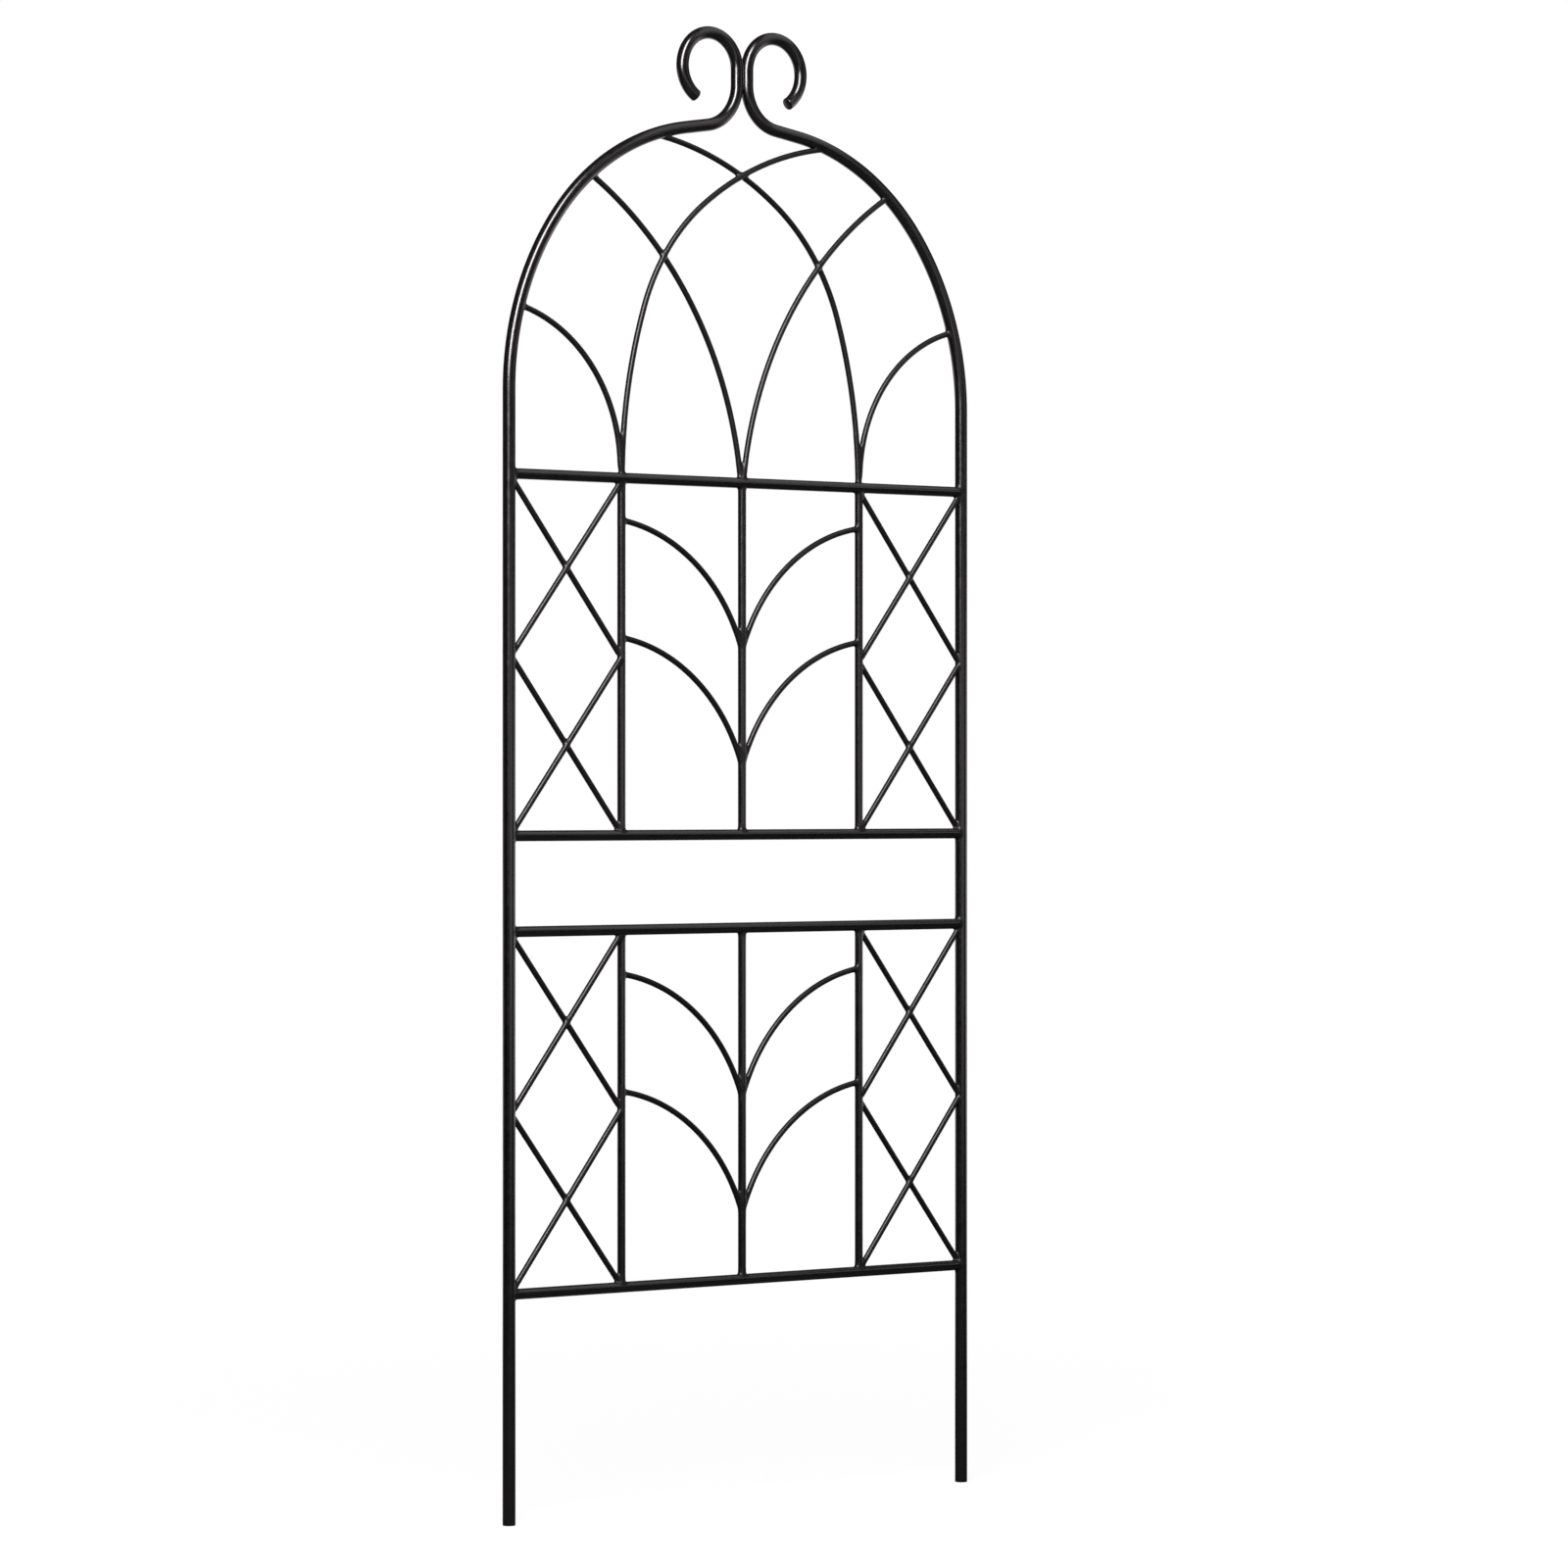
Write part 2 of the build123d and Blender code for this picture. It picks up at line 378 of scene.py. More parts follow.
def layer_depths(s):
    """Depths of the two layers that crossing rods lie in."""
    depth = s.rod_diameter / 2 - s.cross_set / 2
    return {"front": -depth, "back": depth}


def post_line(s):
    """Centre line of the left post, from its foot to the tip of its scroll."""
    post_x = s.post_spacing / 2
    contact_x = (s.post_diameter + s.weld_gap) / 2
    slope = pi / 2 - s.shoulder_turn - s.crown_turn
    neck_width = s.neck_radius * (1 - sin(slope))
    room = post_x * cos(s.shoulder_turn) - contact_x - s.crown_run * cos(slope) - neck_width
    crown_radius = room / (cos(s.shoulder_turn) - sin(slope))
    line = BarLine(-post_x, 0.0, pi / 2).run(FOOT_RUN_EASES * s.end_ease)
    line.run(rail_heights(s)["arch_rail"] + s.spring_rise - line.reach())
    line.bend(post_x, -s.shoulder_turn).bend(crown_radius, -s.crown_turn).run(s.crown_run)
    line.bend(s.neck_radius, s.shoulder_turn + s.crown_turn).run(s.scroll_contact)
    return line.bend(s.scroll_radius, s.scroll_turn)


def frame_bars(s):
    """The posts and the rails."""
    post_x, post_r, rail_r = s.post_spacing / 2, s.post_diameter / 2, s.rail_diameter / 2
    left_post = post_line(s)
    bars = {
        "left_post": Bar(left_post, 0.0, post_r),
        "right_post": Bar(left_post.mirrored(), 0.0, post_r),
    }
    for name, z in rail_heights(s).items():
        rail = BarLine(-post_x, z, 0.0).run(2 * post_x)
        bars[name] = Bar(rail.trimmed(post_r / 2, post_r / 2), 0.0, rail_r)
    return bars


def panel_bars(s, panel):
    """The uprights, lattice rods and leaf rods of a panel."""
    rail_r, upright_r, rod_r = s.rail_diameter / 2, s.upright_diameter / 2, s.rod_diameter / 2
    below, above = (rail_heights(s)[rail] for rail in PANELS[panel])
    layers = layer_depths(s)
    bars = {}

    for place, sign in PLACES.items():
        line = BarLine(sign * s.upright_offset, below, pi / 2).run(above - below)
        bars[f"{panel}_{place}_upright"] = Bar(line.trimmed(rail_r / 2, rail_r / 2), 0.0, upright_r)

    outer, inner = -s.post_spacing / 2 + s.post_diameter / 2, -s.upright_offset - upright_r
    for tier, (low, high) in lattice_heights(s, panel).items():
        rise = BarLine(outer, low, atan2(high - low, inner - outer))
        rise.start, _ = advance(rise.start, rise.heading, -LATTICE_OVERRUN, 0.0)
        rise.run(Vector((inner - outer, high - low)).length + 2 * LATTICE_OVERRUN)
        fall = BarLine(rise.start.x, low + high - rise.start.y, -rise.heading).run(rise.reach())
        bars[f"{panel}_left_{tier}_front_lattice_rod"] = Bar(rise, layers["front"], rod_r)
        bars[f"{panel}_left_{tier}_back_lattice_rod"] = Bar(fall, layers["back"], rod_r)
        bars[f"{panel}_right_{tier}_front_lattice_rod"] = Bar(fall.mirrored(), layers["front"], rod_r)
        bars[f"{panel}_right_{tier}_back_lattice_rod"] = Bar(rise.mirrored(), layers["back"], rod_r)

    for level, z in leaf_heights(s, panel).items():
        leaf = bowed(Vector((-s.upright_offset, z)), Vector((0.0, z - s.leaf_fall)), s.leaf_bow)
        leaf = leaf.trimmed(upright_r / 2, 0.0)
        bars[f"{panel}_{level}_left_leaf_rod"] = Bar(leaf, 0.0, rod_r)
        bars[f"{panel}_{level}_right_leaf_rod"] = Bar(leaf.mirrored(), 0.0, rod_r)
    return bars


def arch_bars(s):
    """The tall, inner and leaf rods of the arch."""
    post_r, rail_r, rod_r = s.post_diameter / 2, s.rail_diameter / 2, s.rod_diameter / 2
    arch_z = rail_heights(s)["arch_rail"]
    spring = arch_z + s.spring_rise
    left_post = post_line(s)
    layers = layer_depths(s)

    tall = BarLine(-s.upright_offset, arch_z, pi / 2).bend(s.tall_rise_radius, -s.tall_rise_turn)
    tall.bend(s.tall_bend_radius, -s.tall_bend_turn)
    tall.swing_to(left_post.at(spring + s.tall_reach) * Vector((-1, 1)))
    tall = tall.trimmed(rail_r / 2, post_r / 2)

    inner_foot = Vector((-s.inner_foot_spread / 2, arch_z))
    inner = bowed(inner_foot, left_post.at(spring + s.inner_reach), -s.inner_bow)
    inner = inner.trimmed(rail_r / 2, post_r / 2)

    leaf_foot = Vector((-s.upright_offset - s.arch_leaf_lap, arch_z + s.arch_leaf_foot))
    leaf = bowed(left_post.at(spring + s.arch_leaf_reach), leaf_foot, s.arch_leaf_bow)
    leaf = leaf.trimmed(post_r / 2, 0.0)
    leaf.swing_to(Vector((-s.upright_offset - ARCH_LEAF_END_LAP, arch_z + ARCH_LEAF_END_HEIGHT)))

    return {
        "left_tall_arch_rod": Bar(tall, layers["front"], rod_r),
        "right_tall_arch_rod": Bar(tall.mirrored(), layers["back"], rod_r),
        "left_inner_arch_rod": Bar(inner, layers["back"], rod_r),
        "right_inner_arch_rod": Bar(inner.mirrored(), layers["front"], rod_r),
        "left_arch_leaf_rod": Bar(leaf, layers["front"], rod_r),
        "right_arch_leaf_rod": Bar(leaf.mirrored(), layers["back"], rod_r),
    }


def trellis_bars(s):
    """Every bar by name, a little longer than it shows, so that its ends lie inside its neighbours."""
    bars = frame_bars(s) | arch_bars(s)
    for panel in PANELS:
        bars |= panel_bars(s, panel)
    return bars


def sweep_bar(bm, section, bar, sides, bend_step):
    """A closed round bar: a ring that is drawn along the runs and spun round the bends."""
    spot, heading = bar.line.start, bar.line.heading
    way = Vector((cos(heading), 0.0, sin(heading)))
    turned = way.to_track_quat("Z", "Y").to_matrix().to_4x4()
    placed = Matrix.Translation((spot.x, bar.layer, spot.y)) @ turned
    ring = bmesh.ops.create_circle(bm, segments=sides, radius=bar.radius, matrix=placed)["verts"]
    for k, vert in enumerate(ring):
        vert[section] = (cos(2 * pi * k / sides), sin(2 * pi * k / sides), 0.0)
    edges = list(dict.fromkeys(edge for vert in ring for edge in vert.link_edges))
    first = edges
    for reach, turn in bar.line.moves:
        if turn:
            across = Vector((-sin(heading), 0.0, cos(heading)))
            centre = Vector((spot.x, bar.layer, spot.y)) + reach / turn * across
            steps = max(2, round(abs(turn) / bend_step))
            made = bmesh.ops.spin(
                bm, geom=ring + edges, cent=centre, axis=(0.0, -1.0, 0.0), angle=turn, steps=steps
            )["geom_last"]
        else:
            made = bmesh.ops.extrude_edge_only(bm, edges=edges)["geom"]
        ring = [part for part in made if isinstance(part, bmesh.types.BMVert)]
        if not turn:
            way = Vector((cos(heading), 0.0, sin(heading)))
            bmesh.ops.translate(bm, verts=ring, vec=reach * way)
        ends = set(ring)
        edges = [part for part in made if isinstance(part, bmesh.types.BMEdge)]
        edges = [edge for edge in edges if ends.issuperset(edge.verts)]
        spot, heading = advance(spot, heading, reach, turn)
    bmesh.ops.edgeloop_fill(bm, edges=first)
    bmesh.ops.edgeloop_fill(bm, edges=edges)
    return first + edges


def settle(obj, material, *nodes):
    """Gives a finished piece its coat and its body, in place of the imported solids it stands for."""
    obj.data.materials.clear()
    obj.data.materials.append(material)
    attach(obj, "root")
    if nodes:
        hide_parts(*nodes)
    return obj


def make_bar(context, node, ease=0.0):
    """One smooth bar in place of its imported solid."""
    bar = trellis_bars(context.scene.trellis_sizes)[node]
    thick = bar.radius > ROD_RADIUS_LIMIT
    bm = bmesh.new()
    section = bm.verts.layers.float_vector.new("section")
    rims = sweep_bar(bm, section, bar, BAR_SIDES if thick else ROD_SIDES, BEND_STEP)
    if ease:
        bmesh.ops.bevel(
            bm,
            geom=rims,
            offset=ease,
            offset_type="OFFSET",
            affect="EDGES",
            segments=END_SEGMENTS,
            profile=0.5,
            material=-1,
        )
    bmesh.ops.recalc_face_normals(bm, faces=bm.faces)
    mesh = bpy.data.meshes.new(f"{node}_bar")
    bm.to_mesh(mesh)
    bm.free()
    mesh.shade_smooth()
    mesh.set_sharp_from_angle(angle=SHARP_ANGLE)
    obj = bpy.data.objects.new(f"{node}_bar", mesh)
    context.collection.objects.link(obj)
    finish = "black_coat_bar" if thick else "black_coat_rod"
    return settle(obj, coat_material(context, finish), node)


def make_welds(context, name, joints, rounds, *nodes):
    """Weld fillets: stubs of the bars at each joint, melted together so that metal fills their corners."""
    finish = context.scene.trellis_finish
    bars = trellis_bars(context.scene.trellis_sizes)
    grain = finish.weld_grain
    thinned = THINNING * grain * grain * rounds
    bm = bmesh.new()
    section = bm.verts.layers.float_vector.new("section")
    for point, names, reach in joints:
        for bar in (bars[n] for n in names):
            along = bar.line.nearest(point)
            stub = bar.line.part(along - reach, along + reach)
            radius = bar.radius + thinned / bar.radius - finish.weld_sink
            sweep_bar(bm, section, Bar(stub, bar.layer, radius), STUB_SIDES, STUB_BEND_STEP)
    bmesh.ops.recalc_face_normals(bm, faces=bm.faces)
    mesh = bpy.data.meshes.new(name)
    bm.to_mesh(mesh)
    bm.free()
    obj = bpy.data.objects.new(name, mesh)
    context.collection.objects.link(obj)
    remesh = obj.modifiers.new("Join", "REMESH")
    remesh.mode = "VOXEL"
    remesh.voxel_size = grain
    remesh.adaptivity = 0.0
    smooth = obj.modifiers.new("Melt", "SMOOTH")
    smooth.factor = 1.0
    smooth.iterations = rounds
    context.view_layer.update()
    done = bpy.data.meshes.new_from_object(obj.evaluated_get(context.evaluated_depsgraph_get()))
    obj.modifiers.clear()
    obj.data = done
    bpy.data.meshes.remove(mesh)
    done.name = name

    # Smoothing shrinks a speck of one grain to a point, which is merged and deleted
    bm = bmesh.new()
    bm.from_mesh(done)
    bmesh.ops.remove_doubles(bm, verts=bm.verts, dist=SPECK * grain)
    bmesh.ops.delete(bm, geom=[vert for vert in bm.verts if not vert.link_faces], context="VERTS")
    bm.to_mesh(done)
    bm.free()
    done.shade_smooth()
    return settle(obj, coat_material(context, "black_coat_weld"), *nodes)


def coat_material(context, name):
    """Satin black powder coat: mottled tone and gloss, a fine orange peel, and drawn lines or weld lumps."""
    if name in bpy.data.materials:
        return bpy.data.materials[name]
    finish = context.scene.trellis_finish
    if name == "black_coat_bar":
        shine, smoothest, dullest = finish.bar_shine, finish.bar_rough_low, finish.bar_rough_high
    else:
        shine, smoothest, dullest = finish.rod_shine, finish.rod_rough_low, finish.rod_rough_high
    material = bpy.data.materials.new(name)
    material.use_nodes = True
    material.diffuse_color = finish.coat_light
    nodes, links = material.node_tree.nodes, material.node_tree.links
    shader = nodes["Principled BSDF"]
    shader.inputs["Specular IOR Level"].default_value = shine
    shader.inputs["Specular Tint"].default_value = finish.coat_sheen
    place = nodes.new("ShaderNodeTexCoord").outputs["Object"]

    def grain(source, scale, detail):
        noise = nodes.new("ShaderNodeTexNoise")
        noise.inputs["Scale"].default_value = scale
        noise.inputs["Detail"].default_value = detail
        noise.inputs["Roughness"].default_value = 0.55
        links.new(source, noise.inputs["Vector"])
        return noise.outputs["Fac"]

    def bump(height, strength, distance):
        node = nodes.new("ShaderNodeBump")
        node.inputs["Strength"].default_value = strength
        node.inputs["Distance"].default_value = distance
        links.new(height, node.inputs["Height"])
        return node

    tone = nodes.new("ShaderNodeValToRGB")
    tone.color_ramp.elements[0].position = 0.32
    tone.color_ramp.elements[0].color = finish.coat_dark
    tone.color_ramp.elements[1].position = 0.72
    tone.color_ramp.elements[1].color = finish.coat_light
    links.new(grain(place, scale=38.0, detail=6.0), tone.inputs["Fac"])
    links.new(tone.outputs["Color"], shader.inputs["Base Color"])

    gloss = nodes.new("ShaderNodeMapRange")
    gloss.inputs["From Min"].default_value = 0.3
    gloss.inputs["From Max"].default_value = 0.7
    gloss.inputs["To Min"].default_value = smoothest
    gloss.inputs["To Max"].default_value = dullest
    links.new(grain(place, scale=150.0, detail=4.0), gloss.inputs["Value"])
    links.new(gloss.outputs["Result"], shader.inputs["Roughness"])

    if name == "black_coat_weld":
        form = bump(grain(place, scale=260.0, detail=2.0), strength=0.4, distance=0.0006)
    else:
        # Lines along the bar: the pattern changes quickly round the section and slowly along the bar
        around = nodes.new("ShaderNodeAttribute")
        around.attribute_name = "section"
        stretch = nodes.new("ShaderNodeMapping")
        stretch.inputs["Scale"].default_value = (7.0, 7.0, 7.0)
        links.new(place, stretch.inputs["Vector"])
        spread = nodes.new("ShaderNodeVectorMath")
        spread.operation = "MULTIPLY_ADD"
        spread.inputs[1].default_value = (2.6, 2.6, 2.6)
        links.new(around.outputs["Vector"], spread.inputs[0])
        links.new(stretch.outputs["Vector"], spread.inputs[2])
        form = bump(grain(spread.outputs["Vector"], scale=1.6, detail=3.0), strength=0.10, distance=0.0001)
    peel = bump(grain(place, scale=900.0, detail=3.0), strength=0.05, distance=0.00004)
    links.new(form.outputs["Normal"], peel.inputs["Normal"])
    links.new(peel.outputs["Normal"], shader.inputs["Normal"])
    return material


class TRELLIS_OT_posts(bpy.types.Operator):
    """Make the two outer posts with their arch, neck and scroll."""

    bl_idname = "trellis.posts"
    bl_label = "Posts"

    def execute(self, context):
        for side in SIDES:
            make_bar(context, f"{side}_post", ease=context.scene.trellis_sizes.end_ease)
        return {"FINISHED"}


class TRELLIS_OT_rails(bpy.types.Operator):
    """Make the four level rails."""

    bl_idname = "trellis.rails"
    bl_label = "Rails"

    def execute(self, context):
        for rail in rail_heights(context.scene.trellis_sizes):
            make_bar(context, rail)
        return {"FINISHED"}


class TRELLIS_OT_uprights(bpy.types.Operator):
    """Make the three uprights of each panel."""

    bl_idname = "trellis.uprights"
    bl_label = "Uprights"

    def execute(self, context):
        for panel in PANELS:
            for place in PLACES:
                make_bar(context, f"{panel}_{place}_upright")
        return {"FINISHED"}


class TRELLIS_OT_lattice_rods(bpy.types.Operator):
    """Make the crossed rods of the four side bays."""

    bl_idname = "trellis.lattice_rods"
    bl_label = "Lattice Rods"

    def execute(self, context):
        for panel in PANELS:
            for side in SIDES:
                for tier in TIERS:
                    for layer in LAYERS:
                        make_bar(context, f"{panel}_{side}_{tier}_{layer}_lattice_rod")
        return {"FINISHED"}


class TRELLIS_OT_leaf_rods(bpy.types.Operator):
    """Make the bowed leaf rods of the two panels."""

    bl_idname = "trellis.leaf_rods"
    bl_label = "Leaf Rods"

    def execute(self, context):
        for panel in PANELS:
            for level in LEVELS:
                for side in SIDES:
                    make_bar(context, f"{panel}_{level}_{side}_leaf_rod")
        return {"FINISHED"}


class TRELLIS_OT_arch_rods(bpy.types.Operator):
    """Make the tall, inner and leaf rods of the arch."""

    bl_idname = "trellis.arch_rods"
    bl_label = "Arch Rods"

    def execute(self, context):
        for side in SIDES:
            make_bar(context, f"{side}_tall_arch_rod")
            make_bar(context, f"{side}_inner_arch_rod")
            make_bar(context, f"{side}_arch_leaf_rod")
        return {"FINISHED"}


class TRELLIS_OT_rail_welds(bpy.types.Operator):
    """Make the weld fillets between the rails and the posts."""

    bl_idname = "trellis.rail_welds"
    bl_label = "Rail Welds"

    def execute(self, context):
        s = context.scene.trellis_sizes
        joints = []
        for rail, z in rail_heights(s).items():
            for side, sign in SIDES.items():
                end = Vector((sign * s.post_spacing / 2, z))
                joints.append(Joint(end, (f"{side}_post", rail), WELD_REACH["rail_end"]))
        make_welds(context, "rail_weld_fillets", joints, WELD_ROUNDS["rail"])
        return {"FINISHED"}


class TRELLIS_OT_upright_welds(bpy.types.Operator):
    """Make the weld fillets between the uprights and the rails."""

    bl_idname = "trellis.upright_welds"
    bl_label = "Upright Welds"

    def execute(self, context):
        s = context.scene.trellis_sizes
        joints = []
        for panel, rails in PANELS.items():
            for rail in rails:
                for place, sign in PLACES.items():
                    end = Vector((sign * s.upright_offset, rail_heights(s)[rail]))
                    bars = (f"{panel}_{place}_upright", rail)
                    joints.append(Joint(end, bars, WELD_REACH["upright_end"]))
        make_welds(context, "upright_weld_fillets", joints, WELD_ROUNDS["upright"])
        return {"FINISHED"}


class TRELLIS_OT_lattice_welds(bpy.types.Operator):
    """Make the weld fillets at the ends and crossings of the lattice rods."""

    bl_idname = "trellis.lattice_welds"
    bl_label = "Lattice Welds"

    def execute(self, context):
        s = context.scene.trellis_sizes
        for panel in PANELS:
            joints = [joint for side in SIDES for joint in self.bay_joints(s, panel, side)]
            make_welds(context, f"{panel}_lattice_weld_fillets", joints, WELD_ROUNDS["lattice"])
        return {"FINISHED"}

    def bay_joints(self, s, panel, side):
        """The joints of one side bay: its two crossings, then those along the post and the upright."""
        post_edge = s.post_spacing / 2 - s.post_diameter / 2
        upright_edge = s.upright_offset + s.upright_diameter / 2
        post, upright = f"{side}_post", f"{panel}_{side}_upright"
        below, above = PANELS[panel]
        heights = lattice_heights(s, panel)
        middle = (heights["low"][1] + heights["high"][0]) / 2
        sign = SIDES[side]
        rods = {
            (tier, layer): f"{panel}_{side}_{tier}_{layer}_lattice_rod"
            for tier in TIERS
            for layer in LAYERS
        }
        for tier in TIERS:
            centre = Vector((sign * (post_edge + upright_edge) / 2, sum(heights[tier]) / 2))
            crossed = [rods[tier, layer] for layer in LAYERS]
            yield Joint(centre, crossed, WELD_REACH["lattice_crossing"])
        for x, bar in ((post_edge, post), (upright_edge, upright)):
            # Front rods rise to the right, so they are low at a bay's left edge and high at its right edge
            left_edge = (bar == post) == (side == "left")
            low, high = LAYERS if left_edge else LAYERS[::-1]
            bottom = Vector((sign * x, heights["low"][0]))
            yield Joint(bottom, (rods["low", low], bar, below), WELD_REACH["lattice_corner"])
            meeting = (rods["low", high], rods["high", low], bar)
            yield Joint(Vector((sign * x, middle)), meeting, WELD_REACH["lattice_middle"])
            top = Vector((sign * x, heights["high"][1]))
            yield Joint(top, (rods["high", high], bar, above), WELD_REACH["lattice_corner"])


class TRELLIS_OT_leaf_welds(bpy.types.Operator):
    """Make the weld fillets at the tips and roots of the leaf rods."""

    bl_idname = "trellis.leaf_welds"
    bl_label = "Leaf Welds"

    def execute(self, context):
        s = context.scene.trellis_sizes
        joints = []
        for panel in PANELS:
            for level, z in leaf_heights(s, panel).items():
                leaves = {side: f"{panel}_{level}_{side}_leaf_rod" for side in SIDES}
                root = Vector((0.0, z - s.leaf_fall + LEAF_ROOT_RISE))
                bars = (*leaves.values(), f"{panel}_centre_upright")
                joints.append(Joint(root, bars, WELD_REACH["leaf_root"]))
                for side, sign in SIDES.items():
                    tip = Vector((sign * s.upright_offset, z))
                    bars = (leaves[side], f"{panel}_{side}_upright")
                    joints.append(Joint(tip, bars, WELD_REACH["leaf_tip"]))
        make_welds(context, "leaf_weld_fillets", joints, WELD_ROUNDS["leaf"])
        return {"FINISHED"}


class TRELLIS_OT_arch_welds(bpy.types.Operator):
    """Make the weld fillets of the arch rods."""

    bl_idname = "trellis.arch_welds"
    bl_label = "Arch Welds"

    def execute(self, context):
        s = context.scene.trellis_sizes
        lines = {name: bar.line for name, bar in arch_bars(s).items()}
        arch_z = rail_heights(s)["arch_rail"]
        inner_feet = ("left_inner_arch_rod", "right_inner_arch_rod", "arch_rail")
        joints = [Joint(Vector((0.0, arch_z)), inner_feet, WELD_REACH["inner_rod_feet"])]
        for (side, sign), other in zip(SIDES.items(), reversed(SIDES)):
            post, far_post = f"{side}_post", f"{other}_post"
            tall, inner = f"{side}_tall_arch_rod", f"{side}_inner_arch_rod"
            leaf = f"{side}_arch_leaf_rod"
            foot = Vector((sign * s.upright_offset, arch_z))
            joints.append(Joint(foot, (tall, "arch_rail"), WELD_REACH["tall_rod_foot"]))
            beside = foot + Vector((0.0, ARCH_LEAF_FOOT_RISE))
            joints.append(Joint(beside, (tall, leaf), WELD_REACH["arch_leaf_foot"]))
            joints.append(Joint(lines[tall].end()[0], (tall, far_post), WELD_REACH["arch_rod_end"]))
            joints.append(Joint(lines[inner].end()[0], (inner, post), WELD_REACH["arch_rod_end"]))
            joints.append(Joint(lines[leaf].start, (leaf, post), WELD_REACH["arch_leaf_start"]))
            crossing = min(
                (lines[tall].at(distance) for distance in INNER_CROSSING_TRIES),
                key=lambda spot: (lines[inner].at(lines[inner].nearest(spot)) - spot).length,
            )
            joints.append(Joint(crossing, (tall, inner), WELD_REACH["arch_crossing"]))
        tall_rods = ("left_tall_arch_rod", "right_tall_arch_rod")
        tried = (lines["left_tall_arch_rod"].at(distance) for distance in TOP_CROSSING_TRIES)
        top = min(tried, key=lambda spot: abs(spot.x))
        joints.append(Joint(top, tall_rods, WELD_REACH["arch_crossing"]))
        make_welds(context, "arch_weld_fillets", joints, WELD_ROUNDS["arch"])
        return {"FINISHED"}


class TRELLIS_OT_scroll_weld(bpy.types.Operator):
    """Make the weld that holds the two scrolls together."""

    bl_idname = "trellis.scroll_weld"
    bl_label = "Scroll Weld"

    def execute(self, context):
        low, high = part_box("scroll_welds")
        middle = Vector((0.0, (low[2] + high[2]) / 2))
        joints = [Joint(middle, ("left_post", "right_post"), WELD_REACH["scrolls"])]
        make_welds(context, "scroll_weld_fillets", joints, WELD_ROUNDS["scroll"], "scroll_welds")
        return {"FINISHED"}


class TRELLIS_OT_stage(bpy.types.Operator):
    """Set the pale floor, the lamps and the camera."""

    bl_idname = "trellis.stage"
    bl_label = "Stage"

    def execute(self, context):
        stage = context.scene.trellis_stage
        set_floor(context, stage)
        set_world(context, stage)
        for name, (foot, head, width) in LAMPS.items():
            set_lamp(context, f"{name}_lamp", foot, head, width, getattr(stage, f"{name}_power"))
        set_camera(context, stage)
        return {"FINISHED"}


def view_ahead(stage):
    """The level way from the camera to the panel."""
    return Vector((sin(stage.view_turn), cos(stage.view_turn), 0.0))


def seen_rays(nodes, links, place, ahead, near, far):
    """One for the camera's rays, and for reflected and clear rays to the backdrop behind the panel."""
    path = nodes.new("ShaderNodeLightPath")
    behind = nodes.new("ShaderNodeVectorMath")
    behind.operation = "DOT_PRODUCT"
    behind.inputs[1].default_value = ahead
    links.new(place, behind.inputs[0])
    backdrop = nodes.new("ShaderNodeMapRange")
    backdrop.inputs["From Min"].default_value = near
    backdrop.inputs["From Max"].default_value = far
    links.new(behind.outputs["Value"], backdrop.inputs["Value"])

    def joined(operation, one, other):
        node = nodes.new("ShaderNodeMath")
        node.operation = operation
        links.new(one, node.inputs[0])
        links.new(other, node.inputs[1])
        return node.outputs["Value"]

    bounced = joined("MAXIMUM", path.outputs["Is Glossy Ray"], path.outputs["Is Transmission Ray"])
    bounced = joined("MULTIPLY", bounced, backdrop.outputs["Result"])
    return joined("MAXIMUM", path.outputs["Is Camera Ray"], bounced)


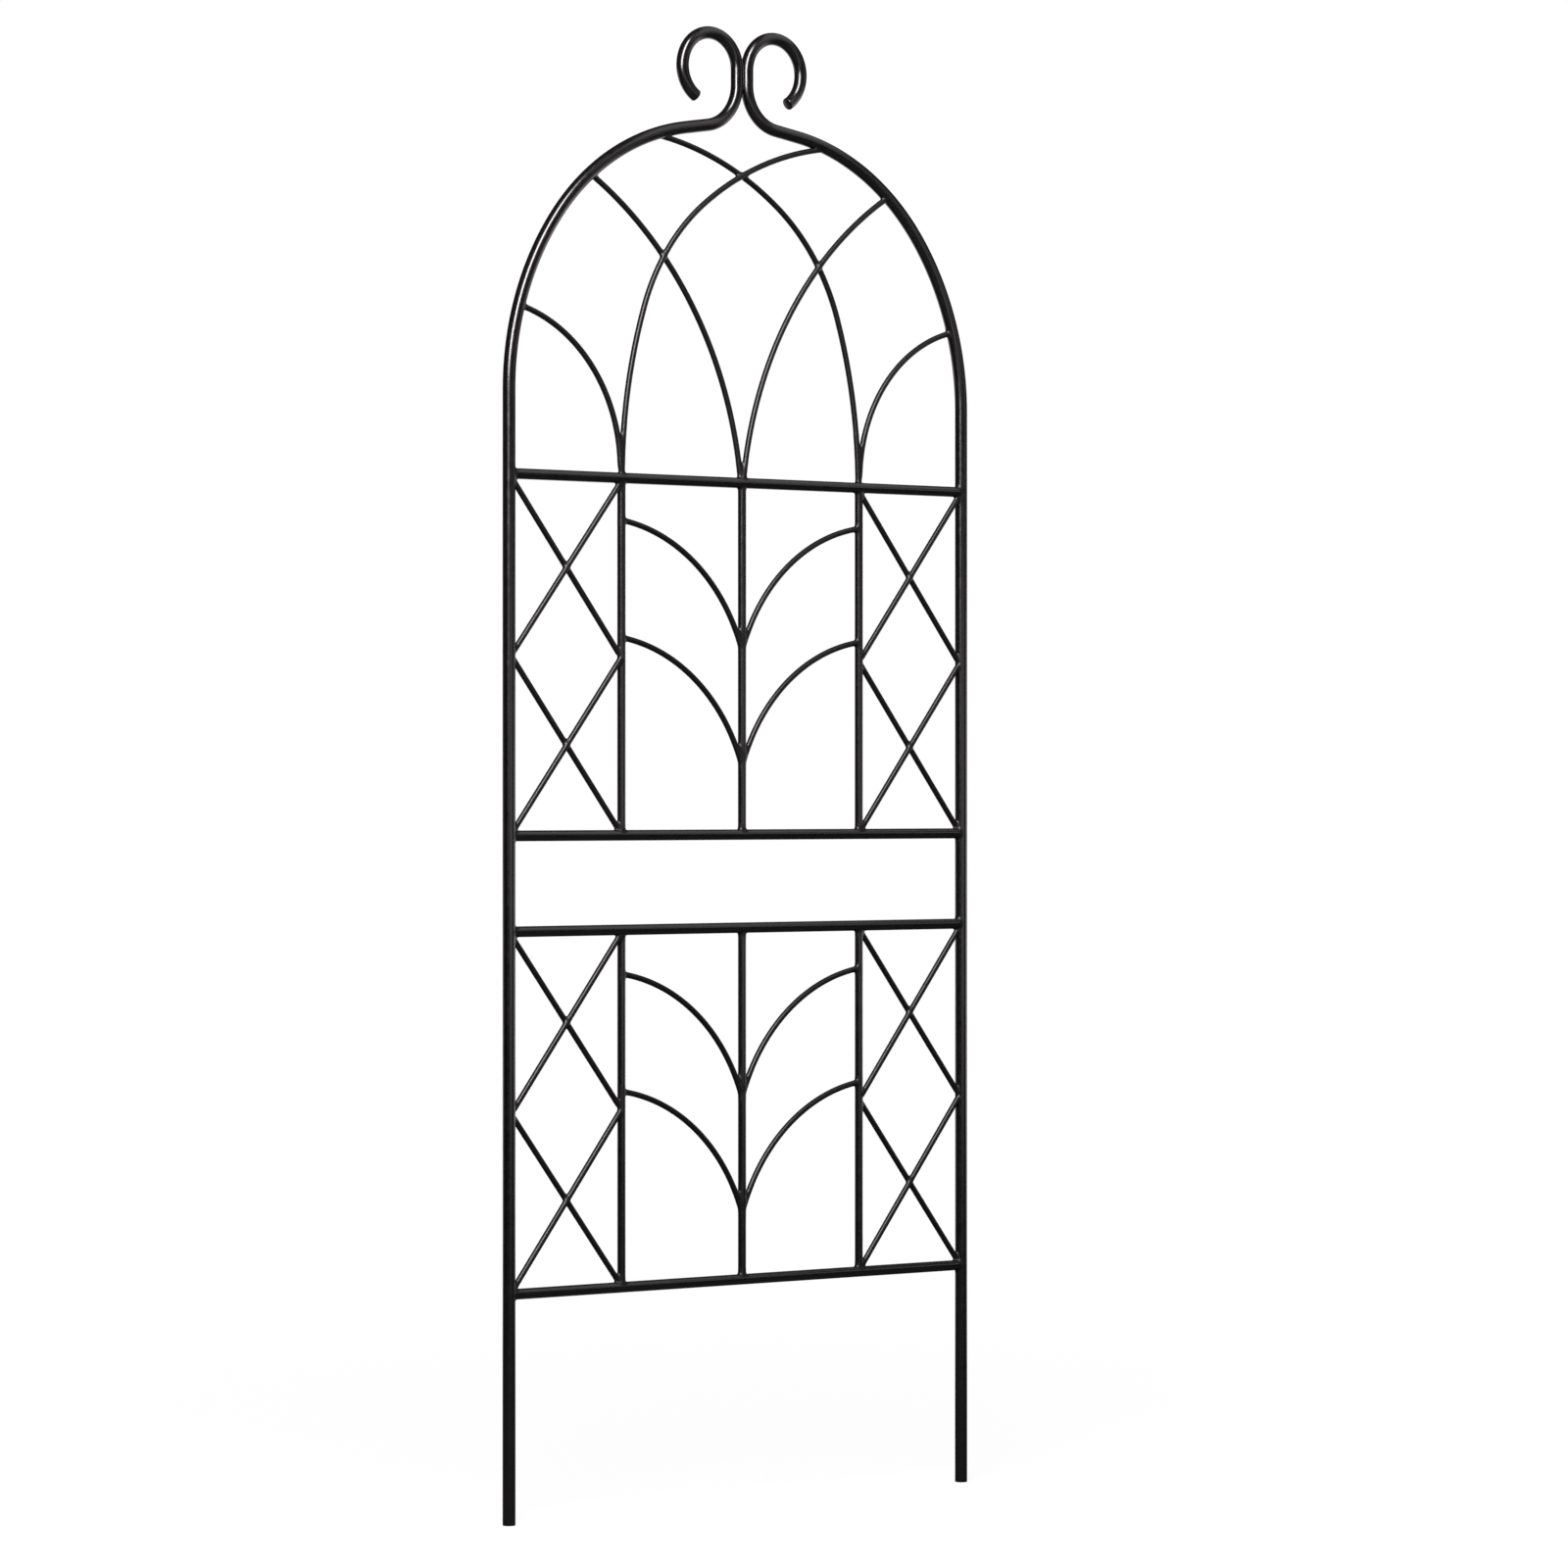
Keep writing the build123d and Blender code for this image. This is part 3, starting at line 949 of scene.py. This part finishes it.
def set_floor(context, stage):
    """A wide pale floor that shows white and keeps the object's shadow."""
    bm = bmesh.new()
    bmesh.ops.create_circle(bm, cap_ends=True, segments=FLOOR_SIDES, radius=FLOOR_RADIUS)
    mesh = bpy.data.meshes.new("floor")
    bm.to_mesh(mesh)
    bm.free()
    floor = bpy.data.objects.new("floor", mesh)
    context.collection.objects.link(floor)
    material = bpy.data.materials.new("pale_floor")
    material.use_nodes = True
    nodes, links = material.node_tree.nodes, material.node_tree.links
    shader = nodes["Principled BSDF"]
    shader.inputs["Base Color"].default_value = stage.floor_colour
    shader.inputs["Roughness"].default_value = 0.9
    shader.inputs["Specular IOR Level"].default_value = 0.0
    shader.inputs["Emission Color"].default_value = WHITE
    place = nodes.new("ShaderNodeTexCoord").outputs["Object"]
    away = nodes.new("ShaderNodeVectorMath")
    away.operation = "LENGTH"
    links.new(place, away.inputs[0])

    # The glow is a little weaker near the object, where the shadow has to show
    lift = nodes.new("ShaderNodeMapRange")
    lift.inputs["From Min"].default_value = 0.5
    lift.inputs["From Max"].default_value = 3.5
    lift.inputs["To Min"].default_value = 0.93
    lift.inputs["To Max"].default_value = 1.0
    links.new(away.outputs["Value"], lift.inputs["Value"])
    glow = nodes.new("ShaderNodeMath")
    glow.operation = "MULTIPLY"
    seen = seen_rays(nodes, links, place, view_ahead(stage), near=1.0, far=2.5)
    links.new(seen, glow.inputs[0])
    links.new(lift.outputs["Result"], glow.inputs[1])
    links.new(glow.outputs["Value"], shader.inputs["Emission Strength"])
    mesh.materials.append(material)
    floor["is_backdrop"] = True


def set_world(context, stage):
    """A dim grey room whose backdrop shows white."""
    world = bpy.data.worlds.new("studio")
    context.scene.world = world
    world.use_nodes = True
    nodes, links = world.node_tree.nodes, world.node_tree.links
    room = nodes["Background"]
    room.inputs["Color"].default_value = stage.room_colour
    white = nodes.new("ShaderNodeBackground")
    white.inputs["Color"].default_value = WHITE
    either = nodes.new("ShaderNodeMixShader")
    way = nodes.new("ShaderNodeTexCoord").outputs["Generated"]
    seen = seen_rays(nodes, links, way, view_ahead(stage), near=0.8, far=1.0)
    links.new(seen, either.inputs["Fac"])
    links.new(room.outputs["Background"], either.inputs[1])
    links.new(white.outputs["Background"], either.inputs[2])
    links.new(either.outputs["Shader"], nodes["World Output"].inputs["Surface"])


def set_lamp(context, name, foot, head, width, watts):
    """A soft box from a foot to a head, which faces the panel."""
    foot, head = Vector(foot), Vector(head)
    middle, up = (foot + head) / 2, (head - foot).normalized()
    across = (middle - LAMP_AIM).cross(up).normalized()
    lamp = bpy.data.lights.new(name, "AREA")
    lamp.shape = "RECTANGLE"
    lamp.size, lamp.size_y = width, (head - foot).length
    lamp.energy = watts
    obj = bpy.data.objects.new(name, lamp)
    turned = Matrix((-across, up, -across.cross(up))).transposed().to_4x4()
    obj.matrix_world = Matrix.Translation(middle) @ turned
    obj.visible_camera = False
    context.collection.objects.link(obj)


def set_camera(context, stage):
    """The camera at the picture's viewing angle."""
    ahead = view_ahead(stage)
    right = Vector((ahead.y, -ahead.x, 0.0))
    camera = bpy.data.cameras.new("camera")
    camera.lens = stage.view_lens
    camera.shift_y = stage.view_shift
    camera.clip_end = 200.0
    obj = bpy.data.objects.new("camera", camera)
    height = Vector((0.0, 0.0, stage.view_height))
    obj.location = height + stage.view_side * right - stage.view_distance * ahead
    obj.rotation_euler = (pi / 2, 0.0, -stage.view_turn)
    context.collection.objects.link(obj)
    context.scene.camera = obj
    context.scene.view_settings.view_transform = "Standard"


MAKERS = (
    TRELLIS_OT_posts,
    TRELLIS_OT_rails,
    TRELLIS_OT_uprights,
    TRELLIS_OT_lattice_rods,
    TRELLIS_OT_leaf_rods,
    TRELLIS_OT_arch_rods,
    TRELLIS_OT_rail_welds,
    TRELLIS_OT_upright_welds,
    TRELLIS_OT_lattice_welds,
    TRELLIS_OT_leaf_welds,
    TRELLIS_OT_arch_welds,
    TRELLIS_OT_scroll_weld,
    TRELLIS_OT_stage,
)


class TRELLIS_PT_panel(bpy.types.Panel):
    """The makers of the trellis, in order."""

    bl_idname = "TRELLIS_PT_panel"
    bl_label = "Trellis"
    bl_space_type = "VIEW_3D"
    bl_region_type = "UI"
    bl_category = "Trellis"

    def draw(self, context):
        for maker in MAKERS:
            self.layout.operator(maker.bl_idname)


CLASSES = (TrellisSizes, TrellisFinish, TrellisStage, *MAKERS, TRELLIS_PT_panel)


def register():
    for cls in CLASSES:
        bpy.utils.register_class(cls)
    bpy.types.Scene.trellis_sizes = PointerProperty(type=TrellisSizes)
    bpy.types.Scene.trellis_finish = PointerProperty(type=TrellisFinish)
    bpy.types.Scene.trellis_stage = PointerProperty(type=TrellisStage)


def unregister():
    del bpy.types.Scene.trellis_stage
    del bpy.types.Scene.trellis_finish
    del bpy.types.Scene.trellis_sizes
    for cls in reversed(CLASSES):
        bpy.utils.unregister_class(cls)


def main():
    register()
    for maker in MAKERS:
        group, _, name = maker.bl_idname.partition(".")
        getattr(getattr(bpy.ops, group), name)()
    boxes = {"cad": cad_box, "visual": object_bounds()}
    {name: [list(corner) for corner in box] for name, box in boxes.items()}


if __name__ == "__main__":
    main()
